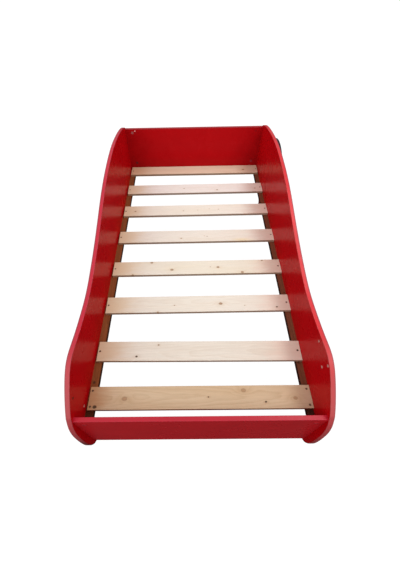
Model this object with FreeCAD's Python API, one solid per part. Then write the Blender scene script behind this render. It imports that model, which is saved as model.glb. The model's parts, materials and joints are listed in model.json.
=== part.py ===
import FreeCAD
import Part
import math
import os

# Car bed for a child, for a 1600 x 800 mattress.
# Millimetres. +X is the right-hand side seen from the foot end, +Y points from
# the foot end (bonnet) to the head end, +Z is up. The origin is at floor level
# under the middle of the whole bed.

V = FreeCAD.Vector

# ---------------------------------------------------------------- dimensions
BOARD = 16.0              # laminated board: sides, headboard and footboard
BAND = 2.0                # edging strip on the visible board edges
INNER_W = 808.0           # clear width between the two side panels
HALF_IN = INNER_W / 2.0
HALF_OUT = HALF_IN + BOARD

DECK = 210.0              # height of the slat tops above the floor
GLIDE_H = 5.0             # plastic glides under the feet of the side panels
PANEL_BOTTOM = GLIDE_H

# Positions along the bed are first given from the front edge of the foot-end
# slat, and heights from the slat tops; SHIFT moves them to the bed's origin.
FRONT_END = -94.3
REAR_END = 1590.0
SHIFT = -(FRONT_END + REAR_END) / 2.0

FOOT_FRONT = -63.8        # front face of the footboard
HEAD_INNER = 1555.0       # inner face of the headboard
FOOT_TOP = 88.0
HEAD_TOP = 232.5
FOOT_LOW = -171.0         # lower edge of the footboard
HEAD_LOW = -50.0          # lower edge of the headboard
SILL = -100.0             # lower edge of the side panels between their feet

SLAT_W = 85.0
SLAT_T = 13.0
SLAT_L = 799.0
# front edge of each slat at its middle, how far its right end is turned
# towards the head end, and how far it sits off the middle to the right
SLAT_FRONTS = [1468.3, 1268.3, 1065.7, 850.5, 629.7, 414.7, 185.7, 0.0]
SLAT_SKEW = [1.2, 3.8, 4.0, 2.9, 3.0, 2.6, -2.5, -0.1]
SLAT_OFFSET = [1.0, 3.0, 3.4, 3.6, 3.6, 3.6, 3.6, 3.6]

RAIL_W = {-1: 29.0, 1: 24.0}   # widths of the left and the right rail
RAIL_H = 20.0
RAIL_END_GAP = 2.0

SCREW_D = 4.0
SCREW_HEAD = 8.0
SCREW_X = {-1: 388.0, 1: 392.0}   # the slats' screws, left and right

CAM_D = 15.0
CAM_DEPTH = 12.5
CAM_INSET = 40.0          # headboard cam centre from the board's end
CAM_HEIGHTS_HEAD = [212.0, 28.0]
FOOT_CAM_INSET = 27.0
CAM_HEIGHTS_FOOT = [54.0]
DOWEL_D = 8.0
DOWEL_HEIGHTS_HEAD = [120.0, -25.0]
DOWEL_HEIGHTS_FOOT = [0.0, -130.0]

WHEEL_T = 22.0            # thickness of a wheel disc
WHEEL_GAP = 62.0          # clearance between wheel and floor
FRONT_WHEEL_R = 140.0
FRONT_WHEEL_Y = 100.0
REAR_WHEEL_R = 213.0
REAR_WHEEL_Y = 1270.0
REAR_LIFT = {-1: -15.0, 1: 5.0}   # the rear wheels' heights differ a little
RIM_RATIO = 0.64
RIM_POCKET = 9.0          # depth of the round pocket in the disc
SPOKES = 5
HUB_D = 64.0

# Outline of a side panel: (along the bed, height above the slat tops).
TOP_CURVE = [(-60, 107.7), (-32, 134.4), (0, 159.6), (32, 181.2),
             (64, 198.0), (96, 206.3), (128, 205.8), (170, 199.4),
             (224, 192.0), (288, 186.2), (352, 182.9), (416, 186.2),
             (480, 194.6), (544, 205.2), (608, 217.5), (672, 231.3),
             (736, 246.3), (800, 261.5), (864, 275.8), (928, 287),
             (992, 295.6), (1056, 301.3), (1120, 305), (1184, 306.2),
             (1248, 303.8), (1312, 297.3), (1376, 288), (1440, 276.5),
             (1490, 264.6), (1530, 252.5), (1562, 239.2)]
FRONT_CURVE = [(-60, 107.7), (-69.1, 91.9), (-77.1, 76.3), (-83.4, 58.0),
               (-87.7, 39.1), (-90.6, 19.9), (-92.4, -2.2), (-94.1, -45.2),
               (-94.1, -88.0), (-90.6, -129.0), (-82.5, -160.9),
               (-69.9, -187.6), (-46.0, -205)]
REAR_LOW = (1590.0, -70.0)
REAR_FOOT = (1560.0, -100.0)
TOE_BACK = -22.0          # rear end of the front foot
# The rear foot rakes back under the wheel: its front and rear corners where
# it meets the sill and where it meets the floor.
HEEL_HIGH = (1186.0, 1276.0)
HEEL_LOW = (1321.0, 1418.0)


def py(y):
    return y + SHIFT


def pz(z):
    return z + DECK


def box(x0, x1, y0, y1, z0, z1):
    return Part.makeBox(x1 - x0, y1 - y0, z1 - z0, V(x0, y0, z0))


def cyl(r, h, base, axis):
    return Part.makeCylinder(r, h, V(*base), V(*axis))


def fuse_all(shapes):
    out = shapes[0]
    for s in shapes[1:]:
        out = out.fuse(s)
    return out


def group(shapes):
    return Part.makeCompound(shapes)


def largest(shape):
    return max(shape.Solids, key=lambda s: s.Volume)


# ------------------------------------------------------------- side outline
def curve(points):
    c = Part.BSplineCurve()
    c.interpolate([V(0, a, b) for a, b in points])
    return c


def normals(c, points):
    """Unit normals at the points, pointing out of the panel."""
    out = []
    for a, b in points:
        t = c.tangent(c.parameter(V(0, a, b)))[0]
        out.append((-t.z, t.y))
    return out


def moved(points, ns, d):
    return [(p[0] - n[0] * d, p[1] - n[1] * d) for p, n in zip(points, ns)]


def outline_edges(d):
    """Edges of the side outline, set in from the true edge by d, from under
    the front foot over the top and round the rear end to the sill."""
    top_pts = [(py(a), pz(b)) for a, b in TOP_CURVE]
    front_pts = [(py(a), pz(b)) for a, b in reversed(FRONT_CURVE)]
    top = curve(top_pts)
    front = curve(front_pts)
    nt = normals(top, top_pts)
    nf = normals(front, front_pts)
    nf[0] = (0.0, -1.0)
    # a tangent arc carries the top curve round into the upright rear edge
    pe = top_pts[-1]
    ne = nt[-1]
    r = (py(REAR_END) - pe[0]) / (1.0 - ne[0])
    cy, cz = pe[0] - ne[0] * r, pe[1] - ne[1] * r
    # the crease between bonnet and nose is mitred
    na, nb = nf[-1], nt[0]
    k = 1.0 + na[0] * nb[0] + na[1] * nb[1]
    mitre = ((na[0] + nb[0]) / k, (na[1] + nb[1]) / k)
    nf[-1] = mitre
    nt[0] = mitre
    tp = moved(top_pts, nt, d)
    fp = moved(front_pts, nf, d)
    fp[-1] = tp[0]
    rr = r - d
    end = tp[-1]
    a0 = math.atan2(end[1] - cz, end[0] - cy)
    mid = (cy + rr * math.cos(a0 / 2.0), cz + rr * math.sin(a0 / 2.0))
    side = py(REAR_END) - d
    low = pz(REAR_LOW[1])
    fr = 30.0 - d
    fc = (py(REAR_FOOT[0]), low)
    h = math.sqrt(0.5)
    edges = [
        curve(fp).toShape(),
        curve(tp).toShape(),
        Part.Arc(V(0, *end), V(0, *mid), V(0, side, cz)).toShape(),
        Part.LineSegment(V(0, side, cz), V(0, side, low)).toShape(),
        Part.Arc(V(0, side, low), V(0, fc[0] + fr * h, fc[1] - fr * h),
                 V(0, fc[0], fc[1] - fr)).toShape(),
    ]
    return edges, fp[0], (fc[0], fc[1] - fr)


def fillet_corner(p, q, r, radius):
    """Arc that rounds the corner q between p and r: its ends and middle."""
    a = math.hypot(p[0] - q[0], p[1] - q[1])
    b = math.hypot(r[0] - q[0], r[1] - q[1])
    u = ((p[0] - q[0]) / a, (p[1] - q[1]) / a)
    v = ((r[0] - q[0]) / b, (r[1] - q[1]) / b)
    half = math.acos(u[0] * v[0] + u[1] * v[1]) / 2.0
    t = radius / math.tan(half)
    m = (u[0] + v[0], u[1] + v[1])
    k = math.hypot(*m)
    d = radius / math.sin(half) - radius
    return ((q[0] + u[0] * t, q[1] + u[1] * t),
            (q[0] + m[0] / k * d, q[1] + m[1] / k * d),
            (q[0] + v[0] * t, q[1] + v[1] * t))


def lower_edges(start, end):
    """The unbanded lower edge: front foot, raised sill, raked rear foot and
    sill again to the rear end."""
    low, sill = start[1], pz(SILL)
    pts = [start, (py(TOE_BACK), low), (py(TOE_BACK), sill),
           (py(HEEL_HIGH[0]), sill), (py(HEEL_LOW[0]), low),
           (py(HEEL_LOW[1]), low), (py(HEEL_HIGH[1]), sill), end]
    radii = [0, 13.0, 24.0, 40.0, 14.0, 10.0, 22.0, 0]
    edges = []
    at = start
    for i in range(1, len(pts) - 1):
        a, m, b = fillet_corner(pts[i - 1], pts[i], pts[i + 1], radii[i])
        edges.append(line(at, a))
        edges.append(Part.Arc(V(0, *a), V(0, *m), V(0, *b)).toShape())
        at = b
    edges.append(line(at, end))
    return edges


def face_of(edges):
    return Part.Face(Part.Wire(Part.sortEdges(edges)[0]))


def line(p, q):
    return Part.LineSegment(V(0, *p), V(0, *q)).toShape()


OUT_EDGES, OUT_A, OUT_B = outline_edges(0.0)
IN_EDGES, IN_A, IN_B = outline_edges(BAND)
# the strip ends where the lower edge of the board begins
BAND_FACE = face_of(OUT_EDGES + IN_EDGES + [line(OUT_A, IN_A),
                                            line(OUT_B, IN_B)])
CORE_FACE = face_of(IN_EDGES + lower_edges(OUT_A, OUT_B)
                    + [line(IN_A, OUT_A), line(OUT_B, IN_B)])


def side_parts(sign):
    x0 = HALF_IN if sign > 0 else -HALF_OUT
    out = []
    for f in (CORE_FACE, BAND_FACE):
        g = f.copy()
        g.translate(V(x0, 0, 0))
        out.append(g.extrude(V(BOARD, 0, 0)))
    return out


def inner_bore(sign, y, z, d, depth):
    """Blind bore in the inner face of a side panel."""
    x = sign * HALF_IN
    return cyl(d / 2.0, depth, (x, py(y), pz(z)), (sign, 0, 0))


# Plugs and the one open hole in the inner faces, near the bonnet.
PLUGS_LEFT = [(10.0, 14.0)]
HOLE_LEFT = (0.5, 125.5)
PLUGS_RIGHT = [(90.0, 146.0), (74.0, 190.0), (169.0, 176.5)]
PLUG_D = 7.0
HEAD_PLUG = (-347.5, 221.5)

RAIL_SCREW_YS = [-20.0, 135.0, 350.0, 570.0, 785.0, 1000.0, 1210.0, 1410.0]
WHEEL_FIX = {
    "front": [(FRONT_WHEEL_Y - 65, -55.0), (FRONT_WHEEL_Y + 65, -55.0),
              (FRONT_WHEEL_Y, -78.0)],
    "rear": [(REAR_WHEEL_Y - 105, -55.0), (REAR_WHEEL_Y + 105, -55.0),
             (REAR_WHEEL_Y, -78.0)],
}


def foot_y():
    return FOOT_FRONT + BOARD / 2.0


def head_y():
    return HEAD_INNER + BOARD / 2.0


parts = {}

for name, sign in (("left", -1), ("right", 1)):
    core, band = side_parts(sign)
    cutters = []
    for h in CAM_HEIGHTS_HEAD:
        cutters.append(inner_bore(sign, head_y(), h, 5.2, 11.2))
    for h in DOWEL_HEIGHTS_HEAD:
        cutters.append(inner_bore(sign, head_y(), h, DOWEL_D + 0.2, 12.0))
    for h in CAM_HEIGHTS_FOOT:
        cutters.append(inner_bore(sign, foot_y(), h, 5.2, 11.2))
    for h in DOWEL_HEIGHTS_FOOT:
        cutters.append(inner_bore(sign, foot_y(), h, DOWEL_D + 0.2, 12.0))
    for y in RAIL_SCREW_YS:
        cutters.append(inner_bore(sign, y, -SLAT_T - RAIL_H / 2.0,
                                  SCREW_D + 0.2, 12.5))
    plugs = PLUGS_LEFT if sign < 0 else PLUGS_RIGHT
    for y, z in plugs:
        cutters.append(inner_bore(sign, y, z, PLUG_D + 0.2, 8.2))
    if sign < 0:
        cutters.append(inner_bore(sign, HOLE_LEFT[0], HOLE_LEFT[1], PLUG_D, 9.0))
    for pts in WHEEL_FIX.values():
        for y, z in pts:
            cutters.append(cyl((SCREW_D + 0.4) / 2.0, BOARD + 2,
                               (sign * (HALF_IN - 1), py(y), pz(z)),
                               (sign, 0, 0)))
    core = largest(core.cut(fuse_all(cutters)))
    parts["side_panel_" + name] = core
    parts["edge_band_" + name] = band

    heads = []
    for y, z in plugs:
        p = cyl(PLUG_D / 2.0, 8.0, (sign * HALF_IN, py(y), pz(z)), (sign, 0, 0))
        cap = cyl(4.6, 1.2, (sign * (HALF_IN - 1.2), py(y), pz(z)), (sign, 0, 0))
        heads.append(largest(p.fuse(cap)))
    parts["hole_plugs_" + name] = group(heads)

# --------------------------------------------------- headboard and footboard
def cross_board(y_front, top, low, cam_side, cam_inset, cam_heights,
                dowel_heights):
    z_low, z_top = pz(low), pz(top)
    body = box(-HALF_IN, HALF_IN, py(y_front), py(y_front + BOARD),
               z_low, z_top - BAND)
    strip = box(-HALF_IN, HALF_IN, py(y_front), py(y_front + BOARD),
                z_top - BAND, z_top)
    rounded = [e for e in strip.Edges
               if abs(e.BoundBox.ZMin - z_top) < 0.01
               and e.BoundBox.XLength > 100]
    strip = strip.makeFillet(1.6, rounded)
    mid = py(y_front + BOARD / 2.0)
    cutters = []
    for sign in (-1, 1):
        xe = sign * HALF_IN
        for h in cam_heights:
            xc = sign * (HALF_IN - cam_inset)
            if cam_side > 0:
                base = py(y_front + BOARD) - CAM_DEPTH
            else:
                base = py(y_front)
            cutters.append(cyl(CAM_D / 2.0 + 0.1, CAM_DEPTH,
                               (xc, base, pz(h)), (0, 1, 0)))
            cutters.append(cyl(3.7, cam_inset, (xe, mid, pz(h)),
                               (-sign, 0, 0)))
        for h in dowel_heights:
            cutters.append(cyl(DOWEL_D / 2.0 + 0.1, 24.0, (xe, mid, pz(h)),
                               (-sign, 0, 0)))
    return largest(body.cut(fuse_all(cutters))), strip


def cam_set(y_front, cam_side, cam_inset, cam_heights):
    cams, bolts = [], []
    mid = py(y_front + BOARD / 2.0)
    for sign in (-1, 1):
        for h in cam_heights:
            xc = sign * (HALF_IN - cam_inset)
            # the cam's face lies flush with the face of the board
            if cam_side > 0:
                base = py(y_front + BOARD) - CAM_DEPTH
                face = py(y_front + BOARD)
            else:
                base = py(y_front)
                face = py(y_front)
            cam = cyl(CAM_D / 2.0, CAM_DEPTH, (xc, base, pz(h)), (0, 1, 0))
            # slot that takes the head of the bolt
            cam = cam.cut(cyl(4.0, 12.0, (xc + sign * 9, mid, pz(h)),
                              (-sign, 0, 0)))
            # crossed driver slots in the face
            d0 = face - 1.6 if cam_side > 0 else face - 0.1
            for w, l in ((1.6, 9.0), (9.0, 1.6)):
                cam = cam.cut(box(xc - w / 2, xc + w / 2, d0, d0 + 1.7,
                                  pz(h) - l / 2, pz(h) + l / 2))
            cams.append(largest(cam))
            xs = sign * (HALF_IN + 11.0)
            thread = cyl(2.5, 11.0, (xs, mid, pz(h)), (-sign, 0, 0))
            collar = cyl(3.5, 2.0, (sign * HALF_IN, mid, pz(h)), (-sign, 0, 0))
            reach = cam_inset - 5.0
            shank = cyl(2.0, reach, (sign * HALF_IN, mid, pz(h)),
                        (-sign, 0, 0))
            knob = cyl(3.4, 3.0, (sign * (HALF_IN - reach), mid, pz(h)),
                       (-sign, 0, 0))
            bolts.append(largest(fuse_all([thread, collar, shank, knob])))
    return group(cams), group(bolts)


def dowel_set(y_front, heights):
    out = []
    mid = py(y_front + BOARD / 2.0)
    for sign in (-1, 1):
        for h in heights:
            d = cyl(DOWEL_D / 2.0, 34.0, (sign * (HALF_IN + 11.5), mid, pz(h)),
                    (-sign, 0, 0))
            ends = [e for e in d.Edges if e.Length < 30]
            out.append(d.makeChamfer(0.8, ends))
    return group(out)


hb, hb_band = cross_board(HEAD_INNER, HEAD_TOP, HEAD_LOW, -1, CAM_INSET,
                          CAM_HEIGHTS_HEAD, DOWEL_HEIGHTS_HEAD)
fb, fb_band = cross_board(FOOT_FRONT, FOOT_TOP, FOOT_LOW, -1, FOOT_CAM_INSET,
                          CAM_HEIGHTS_FOOT, DOWEL_HEIGHTS_FOOT)
# a small plug beside the upper left lock of the headboard
plug = (HEAD_PLUG[0], py(HEAD_INNER), pz(HEAD_PLUG[1]))
hb = largest(hb.cut(cyl(2.6, 8.0, plug, (0, 1, 0))))
cap = cyl(3.7, 1.0, (plug[0], plug[1] - 1.0, plug[2]), (0, 1, 0))
parts["headboard_plug"] = largest(cyl(2.5, 7.6, plug, (0, 1, 0)).fuse(cap))
parts["headboard"] = hb
parts["headboard_edge_band"] = hb_band
parts["footboard"] = fb
parts["footboard_edge_band"] = fb_band
cams, bolts = cam_set(HEAD_INNER, -1, CAM_INSET, CAM_HEIGHTS_HEAD)
parts["headboard_cam_locks"] = cams
parts["headboard_cam_bolts"] = bolts
parts["headboard_dowels"] = dowel_set(HEAD_INNER, DOWEL_HEIGHTS_HEAD)
cams, bolts = cam_set(FOOT_FRONT, -1, FOOT_CAM_INSET, CAM_HEIGHTS_FOOT)
parts["footboard_cam_locks"] = cams
parts["footboard_cam_bolts"] = bolts
parts["footboard_dowels"] = dowel_set(FOOT_FRONT, DOWEL_HEIGHTS_FOOT)

# thin cover caps on the front face of the footboard
caps = []
for sign in (-1, 1):
    xc = sign * (HALF_IN - FOOT_CAM_INSET)
    c = cyl(8.6, 1.2, (xc, py(FOOT_FRONT) - 1.2, pz(CAM_HEIGHTS_FOOT[0])),
            (0, 1, 0))
    rim = [e for e in c.Edges if abs(e.BoundBox.YMax - (py(FOOT_FRONT) - 1.2)) < 0.01
           and e.BoundBox.XLength > 10]
    caps.append(c.makeFillet(0.8, rim))
parts["footboard_cam_covers"] = group(caps)

# ------------------------------------------------------------ rails and slats
def slat_screw_points():
    pts = []
    for i, y0 in enumerate(SLAT_FRONTS):
        if i == 7:
            offs = [12.0, 70.0]
        else:
            offs = [SLAT_W * 0.5]
        for o in offs:
            for sign in (-1, 1):
                turn = SLAT_SKEW[i] * SCREW_X[sign] / (SLAT_L / 2.0)
                pts.append((i, sign, y0 + o + sign * turn))
    return pts


POINTS = slat_screw_points()

rail_z1 = pz(-SLAT_T)
rail_z0 = rail_z1 - RAIL_H
rail_y0 = py(FOOT_FRONT + BOARD + RAIL_END_GAP)
rail_y1 = py(HEAD_INNER - RAIL_END_GAP)
for name, sign in (("left", -1), ("right", 1)):
    xa, xb = sorted((sign * HALF_IN, sign * (HALF_IN - RAIL_W[sign])))
    rail = box(xa, xb, rail_y0, rail_y1, rail_z0, rail_z1)
    long_inner = [e for e in rail.Edges if e.BoundBox.YLength > 100
                  and abs(e.BoundBox.XMin - sign * (HALF_IN - RAIL_W[sign])) < 0.01]
    rail = rail.makeChamfer(1.2, long_inner)
    cutters = []
    for i, s, y in POINTS:
        if s == sign:
            cutters.append(cyl(SCREW_D / 2.0 + 0.1, 18.2,
                               (sign * SCREW_X[sign], py(y), rail_z1 - 18.0),
                               (0, 0, 1)))
    for y in RAIL_SCREW_YS:
        zc = rail_z0 + RAIL_H / 2.0
        cutters.append(cyl(SCREW_D / 2.0 + 0.1, RAIL_W[sign] + 2,
                           (sign * (HALF_IN - RAIL_W[sign] - 1), py(y), zc),
                           (sign, 0, 0)))
        cutters.append(cyl(4.4, 3.2,
                           (sign * (HALF_IN - RAIL_W[sign] - 0.2), py(y), zc),
                           (sign, 0, 0)))
    parts["rail_" + name] = largest(rail.cut(fuse_all(cutters)))

for i, y0 in enumerate(SLAT_FRONTS):
    s = box(-SLAT_L / 2, SLAT_L / 2, 0, SLAT_W, pz(-SLAT_T), pz(0))
    arris = [e for e in s.Edges if e.BoundBox.XLength > 100
             and abs(e.BoundBox.ZMin - pz(0)) < 0.01]
    s = s.makeFillet(1.2, arris)
    lower = [e for e in s.Edges if e.BoundBox.XLength > 100
             and abs(e.BoundBox.ZMax - pz(-SLAT_T)) < 0.01]
    s = s.makeFillet(0.8, lower)
    s.translate(V(0, py(y0), 0))
    ang = math.degrees(math.atan2(SLAT_SKEW[i], SLAT_L / 2.0))
    s.rotate(V(0, py(y0 + SLAT_W / 2), 0), V(0, 0, 1), ang)
    s.translate(V(SLAT_OFFSET[i], 0, 0))
    cutters = []
    for j, sign, y in POINTS:
        if j != i:
            continue
        x = sign * SCREW_X[sign]
        cutters.append(cyl(SCREW_D / 2.0 + 0.1, SLAT_T + 2,
                           (x, py(y), pz(-SLAT_T) - 1), (0, 0, 1)))
        cutters.append(Part.makeCone(SCREW_D / 2.0 + 0.1,
                                     SCREW_HEAD / 2.0 + 0.3, 2.6,
                                     V(x, py(y), pz(0) - 2.6), V(0, 0, 1)))
    parts["slat_%d" % (i + 1)] = largest(s.cut(fuse_all(cutters)))


def wood_screw(length, head_d, head_h):
    """Countersunk screw along -Z with its head's face at the origin."""
    head = Part.makeCone(SCREW_D / 2.0, head_d / 2.0, head_h,
                         V(0, 0, -head_h), V(0, 0, 1))
    shank = Part.makeCylinder(SCREW_D / 2.0, length - head_h - 4.0,
                              V(0, 0, -(length - 4.0)), V(0, 0, 1))
    tip = Part.makeCone(0.4, SCREW_D / 2.0, 4.0, V(0, 0, -length), V(0, 0, 1))
    body = fuse_all([head, shank, tip])
    for w, l in ((1.1, 4.4), (4.4, 1.1)):
        body = body.cut(box(-w / 2, w / 2, -l / 2, l / 2, -1.5, 0.1))
    return largest(body)


SLAT_SCREW = wood_screw(29.0, SCREW_HEAD, 2.5)
for name, sign in (("left", -1), ("right", 1)):
    out = []
    for k, (i, s, y) in enumerate(POINTS):
        if s != sign:
            continue
        sc = SLAT_SCREW.copy()
        sc.rotate(V(0, 0, 0), V(0, 0, 1), 17.0 * k)
        sc.translate(V(sign * SCREW_X[sign], py(y), pz(0) - 0.4))
        out.append(sc)
    parts["slat_screws_" + name] = group(out)

RAIL_SCREW = wood_screw(32.0, SCREW_HEAD, 2.5)
for name, sign in (("left", -1), ("right", 1)):
    out = []
    for k, y in enumerate(RAIL_SCREW_YS):
        sc = RAIL_SCREW.copy()
        sc.rotate(V(0, 0, 0), V(0, 0, 1), 23.0 * k)
        sc.rotate(V(0, 0, 0), V(0, 1, 0), -90.0 if sign > 0 else 90.0)
        sc.translate(V(sign * (HALF_IN - RAIL_W[sign] + 0.2), py(y),
                       rail_z0 + RAIL_H / 2.0))
        out.append(sc)
    parts["rail_screws_" + name] = group(out)

# ------------------------------------------------------------------- wheels
def wheel_pieces(r):
    """Wheel lying in the XY plane, outer face up, from z = 0 to WHEEL_T."""
    rim_r = r * RIM_RATIO
    disc = Part.makeCylinder(r, WHEEL_T)
    edges = [e for e in disc.Edges if e.Length > 100
             and abs(e.BoundBox.ZLength) < 0.01]
    top = [e for e in edges if abs(e.BoundBox.ZMin - WHEEL_T) < 0.01]
    low = [e for e in edges if abs(e.BoundBox.ZMin) < 0.01]
    disc = disc.makeFillet(2.0, top)
    low = [e for e in disc.Edges if e.Length > 100
           and abs(e.BoundBox.ZMax) < 0.01]
    disc = disc.makeFillet(1.5, low)
    # two shallow rings turned into the tyre wall
    for rr in (r * 0.93, r * 0.75):
        disc = disc.cut(Part.makeTorus(rr, 1.8, V(0, 0, WHEEL_T + 0.4)))
    disc = disc.cut(Part.makeCylinder(rim_r + 0.5, RIM_POCKET + 1,
                                      V(0, 0, WHEEL_T - RIM_POCKET)))
    base = WHEEL_T - RIM_POCKET
    # rim: raised lip, spokes and hub
    rim = Part.makeCylinder(rim_r, RIM_POCKET + 1.0, V(0, 0, base))
    lip = [e for e in rim.Edges if e.Length > 100
           and abs(e.BoundBox.ZMin - (base + RIM_POCKET + 1.0)) < 0.01]
    rim = rim.makeFillet(1.6, lip)
    dish = Part.makeCone(HUB_D / 2.0 + 8, rim_r - 8.0, 5.0,
                         V(0, 0, base + RIM_POCKET - 4.0))
    rim = rim.cut(dish)
    hub_r = HUB_D / 2.0
    for k in range(SPOKES):
        a0 = 2 * math.pi * (k + 0.5) / SPOKES
        half = math.pi / SPOKES
        r_in, r_out = hub_r + 13.0, rim_r - 13.0
        w_in = 11.0
        w_out = 15.0
        pts = []
        for rad, side, w in ((r_in, -1, w_in), (r_out, -1, w_out)):
            a = a0 + side * (half - w / rad)
            pts.append(V(rad * math.cos(a), rad * math.sin(a), base - 1))
        m = V(r_out * math.cos(a0), r_out * math.sin(a0), base - 1)
        a = a0 + (half - w_out / r_out)
        p3 = V(r_out * math.cos(a), r_out * math.sin(a), base - 1)
        a = a0 + (half - w_in / r_in)
        p4 = V(r_in * math.cos(a), r_in * math.sin(a), base - 1)
        mi = V(r_in * math.cos(a0), r_in * math.sin(a0), base - 1)
        w = Part.Wire([Part.LineSegment(pts[0], pts[1]).toShape(),
                       Part.Arc(pts[1], m, p3).toShape(),
                       Part.LineSegment(p3, p4).toShape(),
                       Part.Arc(p4, mi, pts[0]).toShape()])
        win = Part.Face(w).extrude(V(0, 0, RIM_POCKET + 4))
        up = [e for e in win.Edges if e.BoundBox.ZLength > 5]
        try:
            win = win.makeFillet(5.0, up)
        except Exception:
            pass
        rim = rim.cut(win)
    rim = largest(rim)
    # hub cap: shallow dome seated on the hub
    seat = base + RIM_POCKET - 4.0
    cap = Part.makeCylinder(hub_r, 6.0, V(0, 0, seat))
    edge = [e for e in cap.Edges if abs(e.BoundBox.ZMin - (seat + 6.0)) < 0.01
            and e.Length > 20]
    cap = cap.makeFillet(4.0, edge)
    cap = cap.cut(Part.makeTorus(hub_r * 0.62, 1.0, V(0, 0, seat + 6.3)))
    return largest(disc), rim, largest(cap)


for end, r, yc in (("front", FRONT_WHEEL_R, FRONT_WHEEL_Y),
                   ("rear", REAR_WHEEL_R, REAR_WHEEL_Y)):
    disc, rim, cap = wheel_pieces(r)
    zc = WHEEL_GAP + r
    for name, sign in (("left", -1), ("right", 1)):
        for label, shp in (("tyre", disc), ("rim", rim), ("hub_cap", cap)):
            s = shp.copy()
            s.rotate(V(0, 0, 0), V(0, 1, 0), 90.0 * sign)
            lift = REAR_LIFT[sign] if end == "rear" else 0.0
            s.translate(V(sign * HALF_OUT, py(yc), zc + lift))
            if label == "tyre":
                for y, z in WHEEL_FIX[end]:
                    s = s.cut(cyl(SCREW_D / 2.0 + 0.1, 11.0,
                                  (sign * (HALF_OUT - 0.5), py(y), pz(z)),
                                  (sign, 0, 0)))
                s = largest(s)
            parts["wheel_%s_%s_%s" % (label, end, name)] = s

WHEEL_SCREW = wood_screw(27.0, SCREW_HEAD, 2.5)
for name, sign in (("left", -1), ("right", 1)):
    out = []
    k = 0
    for pts in WHEEL_FIX.values():
        for y, z in pts:
            sc = WHEEL_SCREW.copy()
            sc.rotate(V(0, 0, 0), V(0, 0, 1), 31.0 * k)
            k += 1
            sc.rotate(V(0, 0, 0), V(0, 1, 0), -90.0 if sign > 0 else 90.0)
            # the head stands on the inner face of the side panel
            sc.translate(V(sign * (HALF_IN - 2.4), py(y), pz(z)))
            out.append(sc)
    parts["wheel_screws_" + name] = group(out)

# ------------------------------------------------------------------- glides
for name, sign in (("left", -1), ("right", 1)):
    out = []
    for y in (-42.0, HEEL_LOW[0] + 22.0, HEEL_LOW[1] - 22.0):
        g = cyl(7.0, GLIDE_H, (sign * (HALF_IN + BOARD / 2), py(y), 0),
                (0, 0, 1))
        e = [q for q in g.Edges if abs(q.BoundBox.ZMax) < 0.01]
        out.append(g.makeFillet(1.2, e))
    parts["floor_glides_" + name] = group(out)

# ------------------------------------------------------------------- output
os.makedirs("parts", exist_ok=True)
for node in sorted(parts):
    shp = parts[node]
    shp.exportStep("parts/%s.step" % node)
    bb = shp.BoundBox
    print("%-28s solids %2d valid %s vol %10.1f  x %.1f..%.1f y %.1f..%.1f z %.1f..%.1f" % (
        node, len(shp.Solids), shp.isValid(), shp.Volume, bb.XMin, bb.XMax,
        bb.YMin, bb.YMax, bb.ZMin, bb.ZMax))
print(len(parts), "nodes")
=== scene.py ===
import bpy
import bmesh
import json
import math
from mathutils import Matrix, Vector

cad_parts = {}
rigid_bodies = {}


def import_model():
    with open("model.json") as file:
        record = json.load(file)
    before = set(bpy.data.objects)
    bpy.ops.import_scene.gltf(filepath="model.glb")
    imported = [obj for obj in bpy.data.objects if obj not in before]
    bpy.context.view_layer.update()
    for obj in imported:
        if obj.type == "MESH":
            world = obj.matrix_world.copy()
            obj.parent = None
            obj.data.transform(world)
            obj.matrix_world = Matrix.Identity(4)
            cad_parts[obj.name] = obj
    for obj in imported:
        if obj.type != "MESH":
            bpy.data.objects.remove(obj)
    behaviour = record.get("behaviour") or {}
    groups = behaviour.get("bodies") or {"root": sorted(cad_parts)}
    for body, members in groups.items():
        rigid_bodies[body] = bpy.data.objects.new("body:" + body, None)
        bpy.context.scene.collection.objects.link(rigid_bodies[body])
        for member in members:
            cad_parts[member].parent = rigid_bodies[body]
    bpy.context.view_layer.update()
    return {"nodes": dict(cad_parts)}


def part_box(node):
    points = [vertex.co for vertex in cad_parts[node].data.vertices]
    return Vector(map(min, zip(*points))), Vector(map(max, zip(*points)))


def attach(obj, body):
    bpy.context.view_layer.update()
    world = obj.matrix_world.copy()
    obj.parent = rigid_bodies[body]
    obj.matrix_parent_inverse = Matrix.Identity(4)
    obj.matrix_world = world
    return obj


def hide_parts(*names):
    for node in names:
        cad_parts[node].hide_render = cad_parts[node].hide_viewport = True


for ob in list(bpy.data.objects):
    bpy.data.objects.remove(ob, do_unlink=True)

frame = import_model()
NODE = frame["nodes"]

# ------------------------------------------------------------ measurements
# The same numbers as in the CAD source, in millimetres.
SHIFT = -(-94.3 + 1590.0) / 2.0
DECK = 210.0
HALF_IN = 404.0
HALF_OUT = 420.0
SLAT_FRONTS = [1468.3, 1268.3, 1065.7, 850.5, 629.7, 414.7, 185.7, 0.0]
SLAT_SKEW = [1.2, 3.8, 4.0, 2.9, 3.0, 2.6, -2.5, -0.1]
SLAT_OFFSET = [1.0, 3.0, 3.4, 3.6, 3.6, 3.6, 3.6, 3.6]
SLAT_W = 85.0
SLAT_T = 13.0
SLAT_L = 799.0


def at(x, y, z):
    """A point given from the foot-end slat and the slat tops, in metres."""
    return Vector((x / 1000.0, (y + SHIFT) / 1000.0, (z + DECK) / 1000.0))


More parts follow.
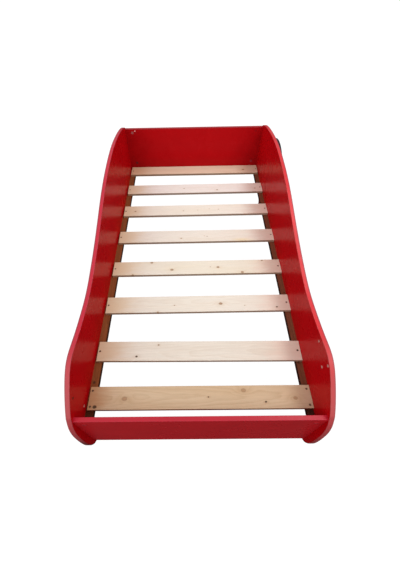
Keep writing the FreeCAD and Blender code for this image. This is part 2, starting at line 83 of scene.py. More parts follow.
# ------------------------------------------------------------- node helper
class Net:
    """Small helper for building a material's node tree."""

    def __init__(self, name):
        self.mat = bpy.data.materials.new(name)
        self.mat.use_nodes = True
        self.t = self.mat.node_tree
        self.t.nodes.clear()
        self.out = self.t.nodes.new("ShaderNodeOutputMaterial")
        self.col = 0
        self._co = None

    def node(self, kind, **props):
        n = self.t.nodes.new(kind)
        self.col += 1
        n.location = ((self.col % 12) * 190 - 2400, -(self.col // 12) * 260)
        for k, v in props.items():
            setattr(n, k, v)
        return n

    def put(self, socket, value):
        if isinstance(value, bpy.types.NodeSocket):
            self.t.links.new(value, socket)
        elif value is not None:
            if socket.type == "RGBA" and len(value) == 3:
                value = (*value, 1.0)
            socket.default_value = value

    def co(self):
        if self._co is None:
            self._co = self.node("ShaderNodeTexCoord")
        return self._co.outputs["Object"]

    def normal(self):
        self.co()
        return self._co.outputs["Normal"]

    def math(self, op, a, b=None, c=None, clamp=False):
        n = self.node("ShaderNodeMath", operation=op, use_clamp=clamp)
        for i, v in enumerate((a, b, c)):
            if v is not None:
                self.put(n.inputs[i], v)
        return n.outputs[0]

    def add(self, a, b):
        return self.math("ADD", a, b)

    def mul(self, a, b):
        return self.math("MULTIPLY", a, b)

    def vec(self, op, a, b=None, scale=None):
        n = self.node("ShaderNodeVectorMath", operation=op)
        self.put(n.inputs[0], a)
        if b is not None:
            self.put(n.inputs[1], b)
        if scale is not None:
            self.put(n.inputs["Scale"], scale)
        return n.outputs["Value"] if op in ("LENGTH", "DOT_PRODUCT", "DISTANCE") else n.outputs["Vector"]

    def split(self, v):
        n = self.node("ShaderNodeSeparateXYZ")
        self.put(n.inputs[0], v)
        return n.outputs[0], n.outputs[1], n.outputs[2]

    def join(self, x, y, z):
        n = self.node("ShaderNodeCombineXYZ")
        for i, v in enumerate((x, y, z)):
            self.put(n.inputs[i], v)
        return n.outputs[0]

    def noise(self, v, scale, detail=2.0, rough=0.5, distort=0.0):
        n = self.node("ShaderNodeTexNoise", noise_dimensions="3D")
        self.put(n.inputs["Vector"], v)
        self.put(n.inputs["Scale"], scale)
        self.put(n.inputs["Detail"], detail)
        self.put(n.inputs["Roughness"], rough)
        self.put(n.inputs["Distortion"], distort)
        return n.outputs["Fac"]

    def cells(self, v, scale, feature="F1", rand=1.0):
        n = self.node("ShaderNodeTexVoronoi", feature=feature)
        self.put(n.inputs["Vector"], v)
        self.put(n.inputs["Scale"], scale)
        self.put(n.inputs["Randomness"], rand)
        return n

    def remap(self, v, a, b, lo=0.0, hi=1.0, smooth=False):
        n = self.node("ShaderNodeMapRange", clamp=True,
                      interpolation_type="SMOOTHSTEP" if smooth else "LINEAR")
        self.put(n.inputs["Value"], v)
        for k, x in zip(("From Min", "From Max", "To Min", "To Max"), (a, b, lo, hi)):
            self.put(n.inputs[k], x)
        return n.outputs["Result"]

    def ramp(self, fac, stops, interp="LINEAR"):
        n = self.node("ShaderNodeValToRGB")
        r = n.color_ramp
        r.interpolation = interp
        while len(r.elements) < len(stops):
            r.elements.new(0.5)
        for e, (pos, c) in zip(r.elements, stops):
            e.position = pos
            if not hasattr(c, "__len__"):
                c = (c, c, c)
            e.color = (*c, 1.0)
        self.put(n.inputs[0], fac)
        return n.outputs["Color"]

    def mix(self, fac, a, b, mode="MIX"):
        n = self.node("ShaderNodeMix", data_type="RGBA", blend_type=mode)
        n.clamp_factor = True
        self.put(n.inputs[0], fac)
        self.put(n.inputs[6], a)
        self.put(n.inputs[7], b)
        return n.outputs[2]

    def blend(self, fac, a, b):
        n = self.node("ShaderNodeMix", data_type="FLOAT")
        n.clamp_factor = True
        self.put(n.inputs[0], fac)
        self.put(n.inputs[2], a)
        self.put(n.inputs[3], b)
        return n.outputs[0]

    def shade(self, colour, fac):
        """Colour times a grey factor that varies round one."""
        return self.vec("SCALE", colour, scale=fac)

    def bump(self, height, distance, strength=1.0, normal=None):
        n = self.node("ShaderNodeBump")
        self.put(n.inputs["Height"], height)
        self.put(n.inputs["Distance"], distance)
        self.put(n.inputs["Strength"], strength)
        if normal is not None:
            self.put(n.inputs["Normal"], normal)
        return n.outputs["Normal"]

    def principled(self, **sockets):
        n = self.node("ShaderNodeBsdfPrincipled")
        for k, v in sockets.items():
            self.put(n.inputs[k.replace("_", " ")], v)
        self.t.links.new(n.outputs[0], self.out.inputs["Surface"])
        return n

    def disc(self, y, z, radius, soft):
        """1 within a circle in the side view round (y, z), metres."""
        v = self.vec("MULTIPLY", self.co(), (0.0, 1.0, 1.0))
        d = self.vec("DISTANCE", v, (0.0, y, z))
        return self.remap(d, radius, radius + soft, 1.0, 0.0)


def dress(names, mat):
    for n in ([names] if isinstance(names, str) else names):
        me = NODE[n].data
        me.materials.clear()
        me.materials.append(mat)


# --------------------------------------------------------------- materials
def chipboard(g):
    """Raw sawn chipboard: flakes and dark gaps. Returns colour and height."""
    v = g.cells(g.co(), 420.0, rand=1.0)
    flake = g.noise(g.co(), 900.0, 3.0, 0.6)
    tone = g.ramp(g.math("ADD", g.mul(v.outputs["Distance"], 0.8), g.mul(flake, 0.5)),
                  [(0.15, (0.16, 0.09, 0.045)), (0.45, (0.42, 0.27, 0.14)),
                   (0.8, (0.60, 0.43, 0.26))])
    return tone, v.outputs["Distance"]


def red_board(name, base, deep, holes=(), panel=True, shade=None):
    """Satin red melamine film on chipboard."""
    g = Net(name)
    co = g.co()
    cloud = g.noise(co, 2.6, 3.0, 0.55)
    patch = g.noise(co, 19.0, 3.0, 0.6)
    grain = g.noise(co, 620.0, 2.0, 0.6)
    speck = g.noise(co, 150.0, 2.0, 0.6)
    tone = g.mix(g.remap(cloud, 0.3, 0.7), base, deep)
    lum = g.math("ADD", g.remap(patch, 0.25, 0.75, 0.96, 1.04),
                 g.remap(grain, 0.2, 0.8, -0.014, 0.014))
    lum = g.add(lum, g.remap(speck, 0.3, 0.7, -0.010, 0.010))
    # painted shade, where a shade function is given: the colour is scaled by it
    if shade is not None:
        lum = g.mul(lum, shade(g))
    colour = g.shade(tone, lum)
    # hairline scuffs, mostly along the bed, and a little dust in them
    long_co = g.vec("MULTIPLY", co, (60.0, 9.0, 90.0))
    scuff = g.remap(g.noise(long_co, 2.3, 3.0, 0.6, 0.4), 0.71, 0.78)
    where = g.remap(g.noise(co, 4.5, 2.0), 0.55, 0.68)
    scuff = g.mul(scuff, where)
    colour = g.mix(g.mul(scuff, 0.10), colour, (0.66, 0.06, 0.06))
    # unbanded edges show the raw board: all round a side panel, and the
    # lower edges of the boards between them
    nx, ny, nz = g.split(g.normal())
    if panel:
        raw = g.remap(g.math("ABSOLUTE", nx), 0.25, 0.4, 1.0, 0.0)
    else:
        raw = g.remap(nz, -0.97, -0.9, 1.0, 0.0)
    chip, chip_h = chipboard(g)
    colour = g.mix(raw, colour, chip)
    # painted shade: each hole's mouth is painted near black, as if its inside lay in shadow
    for y, z, r in holes:
        colour = g.mix(g.mul(g.disc(y, z, r, 0.0006), 0.93), colour, (0.020, 0.004, 0.003))
    rough = g.math("ADD", g.remap(cloud, 0.25, 0.75, 0.25, 0.29), g.mul(scuff, 0.08))
    rough = g.add(rough, g.remap(patch, 0.3, 0.7, -0.008, 0.008))
    rough = g.blend(raw, rough, 0.85)
    wave = g.noise(co, 7.0, 2.0, 0.4)
    peel = g.noise(co, 260.0, 2.0, 0.5)
    n1 = g.bump(wave, 0.0008, 0.5)
    n2 = g.bump(peel, 0.000008, 0.3, n1)
    n3 = g.bump(g.mul(chip_h, raw), 0.0012, 0.8, n2)
    g.principled(Base_Color=colour, Roughness=rough, Normal=n3, IOR=1.5,
                 Specular_IOR_Level=0.05)
    return g.mat


def red_edging(name, base, worn, low=1.0):
    """Plastic edging strip: smoother, with rubbed arrises and glue line."""
    g = Net(name)
    co = g.co()
    cloud = g.noise(co, 6.0, 3.0, 0.6)
    fine = g.noise(co, 700.0, 2.0, 0.6)
    mid = g.noise(co, 55.0, 4.0, 0.65)
    lum = g.math("ADD", g.remap(cloud, 0.25, 0.75, 0.93, 1.07),
                 g.remap(fine, 0.2, 0.8, -0.03, 0.03))
    colour = g.shade(base, lum)
    att = g.node("ShaderNodeAttribute", attribute_type="GEOMETRY", attribute_name="arris")
    arris = att.outputs["Fac"]
    rub = g.mul(g.remap(mid, 0.42, 0.62), arris)
    colour = g.mix(g.mul(rub, 0.55), colour, worn)
    nick = g.mul(g.remap(g.noise(co, 38.0, 5.0, 0.75), 0.66, 0.70), arris)
    colour = g.mix(g.mul(nick, 0.7), colour, (0.16, 0.02, 0.02))
    seam = g.node("ShaderNodeAttribute", attribute_type="GEOMETRY", attribute_name="seam")
    line = seam.outputs["Fac"]
    colour = g.mix(g.mul(line, 0.75), colour, (0.10, 0.004, 0.006))
    # painted shade: a darker line along the outer rounded arris of the side strips, where that fillet turns from the
    # light
    side = g.node("ShaderNodeAttribute", attribute_type="GEOMETRY", attribute_name="outer")
    outer_painted_shade = g.mul(side.outputs["Fac"], g.remap(g.noise(co, 30.0, 3.0, 0.6), 0.3, 0.6, 0.75, 1.0))
    colour = g.mix(g.mul(outer_painted_shade, 0.80), colour, (0.215, 0.045, 0.060))
    # the bloom attribute paints the nose over the front foot and the strip's lowest parts a paler pink
    bloom = g.node("ShaderNodeAttribute", attribute_type="GEOMETRY", attribute_name="bloom")
    haze = g.mul(bloom.outputs["Fac"], g.remap(mid, 0.3, 0.7, 0.8, 1.0))
    colour = g.mix(g.mul(haze, 0.80), colour, (0.42, 0.078, 0.080))
    # painted shade: the strip darkens toward the floor, down to the factor low
    _, _, z = g.split(co)
    colour = g.shade(colour, g.remap(z, 0.205, 0.115, 1.0, low, smooth=True))
    rough = g.math("ADD", g.remap(mid, 0.3, 0.7, 0.30, 0.38), g.mul(rub, 0.18))
    n1 = g.bump(g.noise(co, 22.0, 3.0, 0.5), 0.0005, 0.6)
    n2 = g.bump(fine, 0.00003, 0.5, n1)
    n3 = g.bump(nick, 0.0004, 0.6, n2)
    g.principled(Base_Color=colour, Roughness=rough, Normal=n3, IOR=1.5,
                 Specular_IOR_Level=0.3)
    return g.mat


class Wood:
    """Softwood from growth rings round a pith line, in millimetres along (x),
    across (y) and through (z) the piece."""

    def __init__(self, name, centre, angle, pith, ring, seed, long_axis="x"):
        g = self.g = Net(name)
        m = g.node("ShaderNodeMapping", vector_type="TEXTURE")
        g.put(m.inputs["Vector"], g.co())
        g.put(m.inputs["Location"], tuple(centre))
        rot = angle if long_axis == "x" else angle + math.pi / 2.0
        g.put(m.inputs["Rotation"], (0.0, 0.0, rot))
        g.put(m.inputs["Scale"], (0.001, 0.001, 0.001))
        self.p = m.outputs[0]
        self.x, self.y, self.z = g.split(self.p)
        self.seed = seed
        self.pith = pith      # (y0, z0, dy/dx, dz/dx, wobble)
        self.ring = ring      # ring width
        self.shift = []       # ring displacements from knots
        self.marks = []       # colour marks
        self.depth = 1.0      # how strongly the round knots show
        self.under = []       # colour changes that lie under the knots

    def offset(self, s):
        return self.g.vec("ADD", self.p, (s * 137.0, s * 71.0, s * 29.0))

    def stretched(self, lx, ly, lz, s):
        return self.g.vec("DIVIDE", self.offset(s), (lx, ly, lz))

    def knot(self, x, y, size, kind="tight", reach=3.2, push=2.2, aspect=1.25):
        """kind: tight (brown heart with rim), pin (small dark), black (dark)"""
        g = self.g
        dx = g.mul(g.add(self.x, -x), 1.0 / (size * aspect))
        dy = g.mul(g.add(self.y, -y), 1.0 / size)
        d2 = g.math("ADD", g.mul(dx, dx), g.mul(dy, dy))
        d = g.math("SQRT", d2)
        # the fibres flow round it: wider along the grain
        ex = g.mul(dx, 1.0 / reach)
        ey = g.mul(dy, 1.0 / (reach * 0.62))
        e2 = g.math("ADD", g.mul(ex, ex), g.mul(ey, ey))
        fall = g.math("EXPONENT", g.mul(e2, -1.0))
        self.shift.append(g.mul(fall, push * self.ring))
        self.marks.append((d, fall, kind))

    def build(self, early, late, warm, contrast=1.0, heart=(0.23, 0.115, 0.05),
              rough=(0.46, 0.60), streak=0.10, glow=0.55, extra=None, spec=0.30):
        g = self.g
        s = self.seed
        y0, z0, ky, kz, wob = self.pith
        wy = g.noise(self.stretched(420.0, 4000.0, 4000.0, s + 0.3), 1.0, 2.0)
        wz = g.noise(self.stretched(360.0, 4000.0, 4000.0, s + 4.7), 1.0, 2.0)
        yp = g.math("MULTIPLY_ADD", self.x, ky, y0)
        yp = g.add(yp, g.math("MULTIPLY_ADD", wy, wob * 2.0, -wob))
        zp = g.math("MULTIPLY_ADD", self.x, kz, z0)
        zp = g.add(zp, g.math("MULTIPLY_ADD", wz, wob * 2.0, -wob))
        dy = g.math("SUBTRACT", self.y, yp)
        dz = g.math("SUBTRACT", self.z, zp)
        r = g.math("SQRT", g.math("ADD", g.mul(dy, dy), g.mul(dz, dz)))
        wav = g.noise(self.stretched(150.0, 26.0, 26.0, s + 9.1), 1.0, 3.0, 0.55)
        r = g.add(r, g.math("MULTIPLY_ADD", wav, 9.0, -4.5))
        for sh in self.shift:
            r = g.add(r, sh)
        # rings of uneven width
        uneven = g.noise(g.join(g.mul(r, 1.0 / (self.ring * 7.0)), s, 0.0), 1.0, 2.0)
        t = g.add(g.mul(r, 1.0 / self.ring), g.mul(uneven, 2.4))
        f = g.math("FRACT", t)
        year = g.math("FLOOR", t)
        hard = g.noise(g.join(g.mul(year, 0.73), s * 3.1, 2.0), 1.0, 0.0)
        band = g.ramp(f, [(0.0, 0.0), (0.35, 0.10), (0.72, 0.62), (0.88, 1.0), (0.96, 0.55), (1.0, 0.0)])
        dark = g.mul(band, g.remap(hard, 0.25, 0.75, 0.35, 1.0))
        dark = g.mul(dark, contrast)
        # broad soft variation, then fibres
        broad = g.noise(self.stretched(420.0, 60.0, 60.0, s + 17.0), 1.0, 2.0)
        base = g.mix(g.remap(broad, 0.3, 0.7), early, warm)
        colour = g.mix(dark, base, late)
        fibre = g.noise(self.stretched(42.0, 0.9, 0.9, s + 23.0), 1.0, 3.0, 0.6)
        fibre2 = g.noise(self.stretched(120.0, 3.4, 3.4, s + 31.0), 1.0, 3.0, 0.6)
        lum = g.math("ADD", g.remap(fibre, 0.2, 0.8, 1.0 - streak, 1.0 + streak),
                     g.remap(fibre2, 0.2, 0.8, -streak * 0.6, streak * 0.6))
        colour = g.shade(colour, lum)
        # resin canals: short dark dashes
        dash = g.remap(g.noise(self.stretched(9.0, 0.5, 0.5, s + 41.0), 1.0, 1.0), 0.70, 0.76)
        colour = g.mix(g.mul(dash, 0.35), colour, tuple(c * 0.45 for c in late))
        for paint in self.under:
            colour = paint(g, self, colour)
        pit = None
        for d, fall, kind in self.marks:
            jag = g.noise(self.stretched(3.0, 3.0, 3.0, s + 53.0), 1.0, 2.0)
            dj = g.add(d, g.math("MULTIPLY_ADD", jag, 0.5, -0.25))
            halo = g.mul(g.math("MINIMUM", fall, 1.0), glow)
            colour = g.mix(g.mul(halo, 0.55), colour, (late[0] * 1.02, late[1] * 0.93, late[2] * 0.82))
            core = g.remap(dj, 0.75, 1.15, 1.0, 0.0)
            if kind == "tight":
                rings = g.math("SINE", g.mul(dj, 17.0))
                inner = g.mix(g.remap(rings, -1.0, 1.0, 0.15, 0.75), heart,
                              (heart[0] * 1.75, heart[1] * 1.7, heart[2] * 1.6))
                rim = g.math("MULTIPLY", g.remap(dj, 0.62, 0.88), g.remap(dj, 0.95, 1.25, 1.0, 0.0))
                inner = g.mix(g.mul(rim, 0.75), inner, tuple(c * 0.42 for c in heart))
                colour = g.mix(g.mul(core, 0.93 * self.depth), colour, inner)
            elif kind == "pin":
                colour = g.mix(g.mul(core, 0.95), colour, tuple(c * 0.30 for c in heart))
            else:
                colour = g.mix(g.mul(core, 0.75), colour, tuple(c * 0.95 for c in heart))
            hollow = g.mul(core, -1.0 if kind == "pin" else -0.25)
            pit = hollow if pit is None else g.add(pit, hollow)
        for paint in extra or ():
            colour = paint(g, self, colour)
        # roughness, a little lower on the dark rings, and bumps from fibres, rings and knots
        ey = g.math("ABSOLUTE", self.y)
        rgh = g.remap(fibre2, 0.2, 0.8, rough[0], rough[1])
        rgh = g.math("SUBTRACT", rgh, g.mul(dark, 0.06))
        h = g.math("ADD", g.mul(fibre, 0.55), g.mul(dark, 0.45))
        n1 = g.bump(h, 0.00025, 0.55)
        if pit is not None:
            n1 = g.bump(pit, 0.0008, 0.6, n1)
        g.principled(Base_Color=colour, Roughness=rgh, Normal=n1, IOR=1.45,
                     Specular_IOR_Level=spec)
        return g.mat


def slat_centre(i):
    return at(SLAT_OFFSET[i], SLAT_FRONTS[i] + SLAT_W / 2.0, -SLAT_T / 2.0)


def slat_angle(i):
    return math.atan2(SLAT_SKEW[i], SLAT_L / 2.0)


# tone of each slat, head end first: early wood, late wood, warm cast
SLAT_TONE = [
    ((0.745, 0.600, 0.465), (0.53, 0.355, 0.210), (0.70, 0.535, 0.390)),
    ((0.80, 0.745, 0.705), (0.62, 0.50, 0.385), (0.77, 0.69, 0.62)),
    ((0.80, 0.745, 0.665), (0.64, 0.515, 0.385), (0.775, 0.695, 0.585)),
    ((0.765, 0.705, 0.635), (0.60, 0.485, 0.37), (0.745, 0.67, 0.575)),
    ((0.76, 0.705, 0.62), (0.60, 0.49, 0.355), (0.745, 0.67, 0.54)),
    ((0.745, 0.695, 0.625), (0.59, 0.475, 0.355), (0.73, 0.65, 0.55)),
    ((0.71, 0.645, 0.565), (0.54, 0.42, 0.315), (0.675, 0.59, 0.50)),
    ((0.600, 0.445, 0.292), (0.41, 0.262, 0.135), (0.555, 0.385, 0.232)),
]
# how strongly each slat's ends get painted bounce light and shade, left and right
SLAT_ENDS = [(0.65, 0.50), (0.85, 0.65), (0.9, 0.7), (0.9, 0.7), (0.9, 0.7),
             (0.9, 0.7), (0.9, 0.65), (0.85, 0.35)]
# painted warm bounce light from the left panel at the slats' left ends, darker on the end slats
SLAT_END_LEFT = [(0.59, 0.36, 0.19)] + [(0.70, 0.535, 0.345)] * 5 + [
    (0.62, 0.435, 0.275), (0.45, 0.23, 0.105)]
# pith of each slat: across, through, slopes, wobble; ring width; contrast
SLAT_GRAIN = [
    ((-60.0, -90.0, 0.010, 0.020, 8.0), 5.0, 0.45),
    ((30.0, -120.0, -0.008, 0.012, 9.0), 4.2, 0.28),
    ((75.0, -60.0, 0.012, -0.015, 8.0), 4.6, 0.28),
    ((-20.0, -75.0, 0.010, 0.025, 9.0), 4.4, 0.28),
    ((-70.0, 70.0, -0.010, 0.014, 9.0), 4.8, 0.28),
    ((18.0, 60.0, 0.008, -0.022, 9.0), 5.2, 0.30),
    ((-12.0, -64.0, 0.014, 0.020, 9.0), 5.6, 0.34),
    ((4.0, -38.0, 0.012, -0.045, 10.0), 6.4, 0.50),
]
# knots: x from the middle and y from the front edge, as parts of 800 mm,
# then size in mm and kind
SLAT_KNOTS = [
    [(0.389, 0.046, 6.5, "tight")],
    [(-0.078, 0.055, 3.0, "black"), (0.168, 0.030, 4.2, "tight"), (0.451, 0.041, 4.0, "tight")],
    [(-0.418, 0.048, 4.6, "tight"), (-0.081, 0.044, 2.6, "black"), (0.019, 0.048, 2.0, "black"),
     (0.101, 0.060, 1.8, "black"), (0.165, 0.053, 2.4, "black")],
    [(-0.093, 0.032, 3.2, "tight"), (0.075, 0.047, 1.9, "pin"), (0.058, 0.052, 1.6, "black")],
    [(-0.145, 0.037, 6.5, "tight"), (0.131, 0.051, 5.8, "tight"), (0.085, 0.055, 2.0, "black"),
     (0.272, 0.008, 6.0, "tight"), (-0.269, 0.097, 5.5, "tight"), (-0.376, 0.002, 4.0, "tight"),
     (0.400, 0.099, 4.0, "black")],
    [(0.130, 0.051, 6.6, "tight"), (-0.123, 0.044, 2.6, "black"), (0.433, 0.023, 3.4, "pin"),
     (-0.212, 0.002, 3.4, "tight"), (0.260, 0.036, 1.9, "black")],
    [(-0.301, 0.023, 4.0, "pin"), (-0.196, 0.086, 3.4, "black")],
    [(-0.335, 0.049, 8.0, "tight"), (0.203, 0.083, 7.5, "tight"), (0.432, 0.046, 6.5, "tight"),
     (0.043, 0.054, 2.4, "pin"), (0.298, 0.030, 3.4, "pin"), (-0.464, 0.0135, 6.2, "pin")],
]


def ends_painted_light_shade(left, right, colour_l, colour_r, start=235.0, full=392.0):
    """Painted light and shade: the slats' ends take warm bounce light from the red panels and shade near them, varied
    by noise.
    """
    def paint(g, w, colour):
        u = g.add(w.x, g.math("MULTIPLY_ADD", g.noise(w.stretched(60.0, 14.0, 14.0, 88.0), 1.0, 3.0), 90.0, -45.0))
        l = g.remap(u, -start, -full, 0.0, left, smooth=True)
        r = g.remap(u, start, full, 0.0, right, smooth=True)
        return g.mix(r, g.mix(l, colour, colour_l), colour_r)
    return paint


def sawn_and_shaded_sides(tone, amount):
    """Darker sawn edges and end grain: partly the rough sawn wood, partly painted shade on the faces that stand
    upright.
    """
    def paint(g, w, colour):
        _, _, nz = g.split(g.normal())
        side = g.remap(g.math("ABSOLUTE", nz), 0.5, 0.8, amount, 0.0)
        return g.mix(side, colour, tone)
    return paint


def yellow_patch(x, y, sx, sy, amount):
    def paint(g, w, colour):
        dx = g.mul(g.add(w.x, -x), 1.0 / sx)
        dy = g.mul(g.add(w.y, -y), 1.0 / sy)
        fall = g.math("EXPONENT", g.mul(g.math("ADD", g.mul(dx, dx), g.mul(dy, dy)), -1.0))
        return g.mix(g.mul(fall, amount), colour, (0.74, 0.56, 0.26))
    return paint


for i in range(8):
    node = "slat_%d" % (i + 1)
    pith, ring, contrast = SLAT_GRAIN[i]
    w = Wood("pine_%d" % (i + 1), slat_centre(i), slat_angle(i), pith, ring, 2.0 + 5.3 * i)
    for kx, ky, size, kind in SLAT_KNOTS[i]:
        x = kx * 800.0 - SLAT_OFFSET[i]
        y = ky * 800.0 - SLAT_W / 2.0
        if kind == "tight":
            w.knot(x, y, size, kind)
        else:
            w.knot(x, y, size, kind, reach=2.6, push=0.9)
    w.depth = 0.62 if i == 7 else 0.85
    early, late, warm = SLAT_TONE[i]
    end_l = SLAT_END_LEFT[i]
    # painted shade, with red bounce, at the slats' right ends beside the right panel
    end_r = (0.70, 0.475, 0.385) if 0 < i < 7 else (0.53, 0.32, 0.225)
    w.under.append(ends_painted_light_shade(SLAT_ENDS[i][0], SLAT_ENDS[i][1], end_l, end_r,
                            235.0 if i < 7 else 315.0))
    extra = []
    if i == 3:
        extra.append(yellow_patch(0.294 * 800, -36.0, 46.0, 13.0, 0.5))
    extra.append(sawn_and_shaded_sides((0.30, 0.165, 0.085), 0.72))
    dress(node, w.build(early, late, warm, contrast, extra=extra))

def rail_painted_shade(g, w, colour):
    """Painted shade: the rails' inner faces and their front ends, under the foot-end slat, are darkened nearly black.
    """
    nx, _, _ = g.split(g.normal())
    _, y, _ = g.split(g.co())
    inner = g.remap(g.math("ABSOLUTE", nx), 0.5, 0.8, 0.0, 0.80)
    ahead = g.remap(y, at(0.0, 24.0, 0.0).y, at(0.0, 8.0, 0.0).y, 0.0, 0.72)
    return g.mix(g.math("MAXIMUM", inner, ahead), colour, (0.018, 0.004, 0.003))


for name, sign in (("left", -1), ("right", 1)):
    lo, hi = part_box("rail_" + name)
    mid = (lo + hi) / 2.0
    w = Wood("stained_rail_" + name, mid, 0.0, (16.0 * sign, -30.0, 0.004, 0.006, 6.0), 3.6,
             60.0 + 9.0 * sign, long_axis="y")
    for k, (x, y, size) in enumerate([(-610, 3, 4.5), (-270, -5, 3.2), (145, 4, 5.0), (520, -2, 3.6)]):
        w.knot(x + 37.0 * sign, y, size, "tight", reach=2.8, push=1.5)
    # painted light and shade: one stain in two copies, the left rail's lighter and the right one's darker and bluer, as
    # each is lit
    k = (1.18, 1.18, 1.18) if sign < 0 else (0.90, 0.90, 1.35)
    tones = [tuple(c * f for c, f in zip(t, k)) for t in
             ((0.215, 0.068, 0.023), (0.095, 0.028, 0.009), (0.175, 0.051, 0.017))]
    dress("rail_" + name, w.build(*tones,
                                  0.55, heart=(0.06, 0.022, 0.011), rough=(0.42, 0.56), streak=0.16, glow=0.3,
                                  extra=[rail_painted_shade], spec=0.06))

RED = (0.535, 0.0028, 0.0058)
RED_DEEP = (0.485, 0.0022, 0.0048)
hole_left = at(0.0, 0.5, 125.5)
dress("side_panel_left", red_board("red_film_left", RED, RED_DEEP,
                                   [(hole_left.y, hole_left.z, 0.0042)]))
dress("side_panel_right", red_board("red_film_right", RED, RED_DEEP))


def head_painted_shade(g):
    """Painted shade: the headboard is darkened toward its sides and its lower edge, most at its lower corners."""
    x, _, z = g.split(g.co())
    side = g.remap(g.math("ABSOLUTE", x), 0.20, 0.40, 1.0, 0.80, smooth=True)
    low = g.remap(z, 0.205, 0.30, 0.80, 1.0, smooth=True)
    return g.mul(side, low)


dress("headboard", red_board("red_film_head", (0.535, 0.0052, 0.0084), (0.485, 0.0042, 0.0070),
                             panel=False, shade=head_painted_shade))
# painted sheen: the footboard's red gets more green and blue than the other boards, standing in for a pale reflection
# on its front face
dress("footboard", red_board("red_film_foot_painted_sheen", (0.540, 0.0165, 0.0225), (0.490, 0.0135, 0.0190),
                             panel=False))
# painted light and shade: the four edgings are one red plastic, each copy given its own brightness and pinkness to copy
# how it is lit; low sets how much painted shade darkens each side strip toward the floor
EDGING = {-1: red_edging("edging_left", (0.490, 0.015, 0.036), (0.60, 0.10, 0.13), low=0.48),
          1: red_edging("edging_right", (0.590, 0.020, 0.026), (0.68, 0.13, 0.14), low=0.82)}
dress("headboard_edge_band", red_edging("edging_head", (0.30, 0.008, 0.014), (0.42, 0.045, 0.05)))
dress("footboard_edge_band", red_edging("edging_foot", (0.425, 0.0085, 0.0235), (0.60, 0.08, 0.10)))


def metal(name, base, rough, scale=500.0, brushed=(1.0, 1.0, 1.0), metallic=1.0, stain=(0.05, 0.04, 0.03), amount=0.35):
    g = Net(name)
    co = g.co()
    v = g.vec("MULTIPLY", co, brushed)
    a = g.noise(v, scale, 3.0, 0.6)
    b = g.noise(co, 160.0, 4.0, 0.65)
    colour = g.shade(base, g.remap(a, 0.2, 0.8, 0.86, 1.14))
    colour = g.mix(g.mul(g.remap(b, 0.52, 0.68), amount), colour, stain)
    r = g.math("ADD", g.remap(a, 0.2, 0.8, rough - 0.07, rough + 0.07), g.mul(g.remap(b, 0.5, 0.7), 0.15))
    n = g.bump(a, 0.00005, 0.6)
    g.principled(Base_Color=colour, Roughness=r, Normal=n, Metallic=metallic)
    return g.mat


def plastic(name, base, rough, grain=900.0, depth=0.00004, dust=(0.3, 0.28, 0.26), amount=0.15, ior=1.49, spec=0.4):
    g = Net(name)
    co = g.co()
    a = g.noise(co, grain, 3.0, 0.6)
    b = g.noise(co, 45.0, 4.0, 0.6)
    c = g.noise(co, 8.0, 2.0)
    colour = g.shade(base, g.math("ADD", g.remap(a, 0.2, 0.8, 0.94, 1.06), g.remap(c, 0.3, 0.7, -0.04, 0.04)))
    colour = g.mix(g.mul(g.remap(b, 0.56, 0.72), amount), colour, dust)
    r = g.math("ADD", g.remap(b, 0.3, 0.7, rough - 0.04, rough + 0.05), g.remap(a, 0.2, 0.8, -0.03, 0.03))
    n = g.bump(a, depth, 0.6)
    g.principled(Base_Color=colour, Roughness=r, Normal=n, IOR=ior, Specular_IOR_Level=spec)
    return g.mat


SCREW = metal("screw_dark", (0.120, 0.055, 0.028), 0.55, metallic=0.2, amount=0.5)
dress(["slat_screws_left", "slat_screws_right", "rail_screws_left", "rail_screws_right"], SCREW)
dress(["wheel_screws_left", "wheel_screws_right"], metal("screw_zinc", (0.46, 0.45, 0.42), 0.36))
dress(["headboard_cam_bolts", "footboard_cam_locks", "footboard_cam_bolts"],
      metal("zinc_cast", (0.60, 0.585, 0.57), 0.40, scale=700.0, amount=0.22))


def cam_lock_look():
    """Die-cast locks in the headboard, each painted its own lit or shaded red tone: a painted reflection of the red
    board on all, and a painted glint on the upper left one."""
    g = Net("cam_lock")
    co = g.co()
    x, y, z = g.split(co)
    a = g.noise(co, 700.0, 3.0, 0.6)
    b = g.noise(co, 160.0, 4.0, 0.65)
    # painted light: the locks are tinted with the board's red reflection, shade and a glint rather than lit as zinc
    dull = g.shade((0.16, 0.016, 0.018), g.remap(a, 0.2, 0.8, 0.85, 1.15))
    painted_glint = g.shade((0.44, 0.13, 0.13), g.remap(a, 0.2, 0.8, 0.90, 1.10))
    pink = g.shade((0.36, 0.030, 0.045), g.remap(a, 0.2, 0.8, 0.90, 1.10))
    film = g.shade((0.42, 0.003, 0.006), g.remap(a, 0.2, 0.8, 0.92, 1.08))
    left = g.remap(x, -0.30, -0.301)
    upper = g.remap(z, 0.33, 0.331)
    colour = g.mix(left, g.mix(upper, pink, film), g.mix(upper, dull, painted_glint))
    colour = g.mix(g.mul(g.remap(b, 0.52, 0.68), 0.25), colour, (0.08, 0.02, 0.02))
    g.principled(Base_Color=colour, Roughness=g.remap(b, 0.3, 0.7, 0.40, 0.55),
                 Normal=g.bump(a, 0.00005, 0.6), Metallic=0.1, Specular_IOR_Level=0.15)
    return g.mat


dress("headboard_cam_locks", cam_lock_look())
beech = Wood("beech", (0.0, 0.0, 0.0), 0.0, (40.0, 60.0, 0.0, 0.0, 2.0), 2.2, 77.0)
dress(["headboard_dowels", "footboard_dowels"],
      beech.build((0.66, 0.47, 0.29), (0.47, 0.29, 0.15), (0.62, 0.42, 0.25), 0.5))
dress("footboard_cam_covers", plastic("cover_red", (0.44, 0.016, 0.024), 0.40, dust=(0.40, 0.10, 0.10), spec=0.08))
dress("headboard_plug", plastic("plug_bright", (0.95, 0.52, 0.50), 0.36))
dress(["hole_plugs_left", "hole_plugs_right"], plastic("plug_pink", (0.60, 0.27, 0.24), 0.42))
dress(["floor_glides_left", "floor_glides_right"], plastic("glide_dark", (0.045, 0.045, 0.047), 0.5))


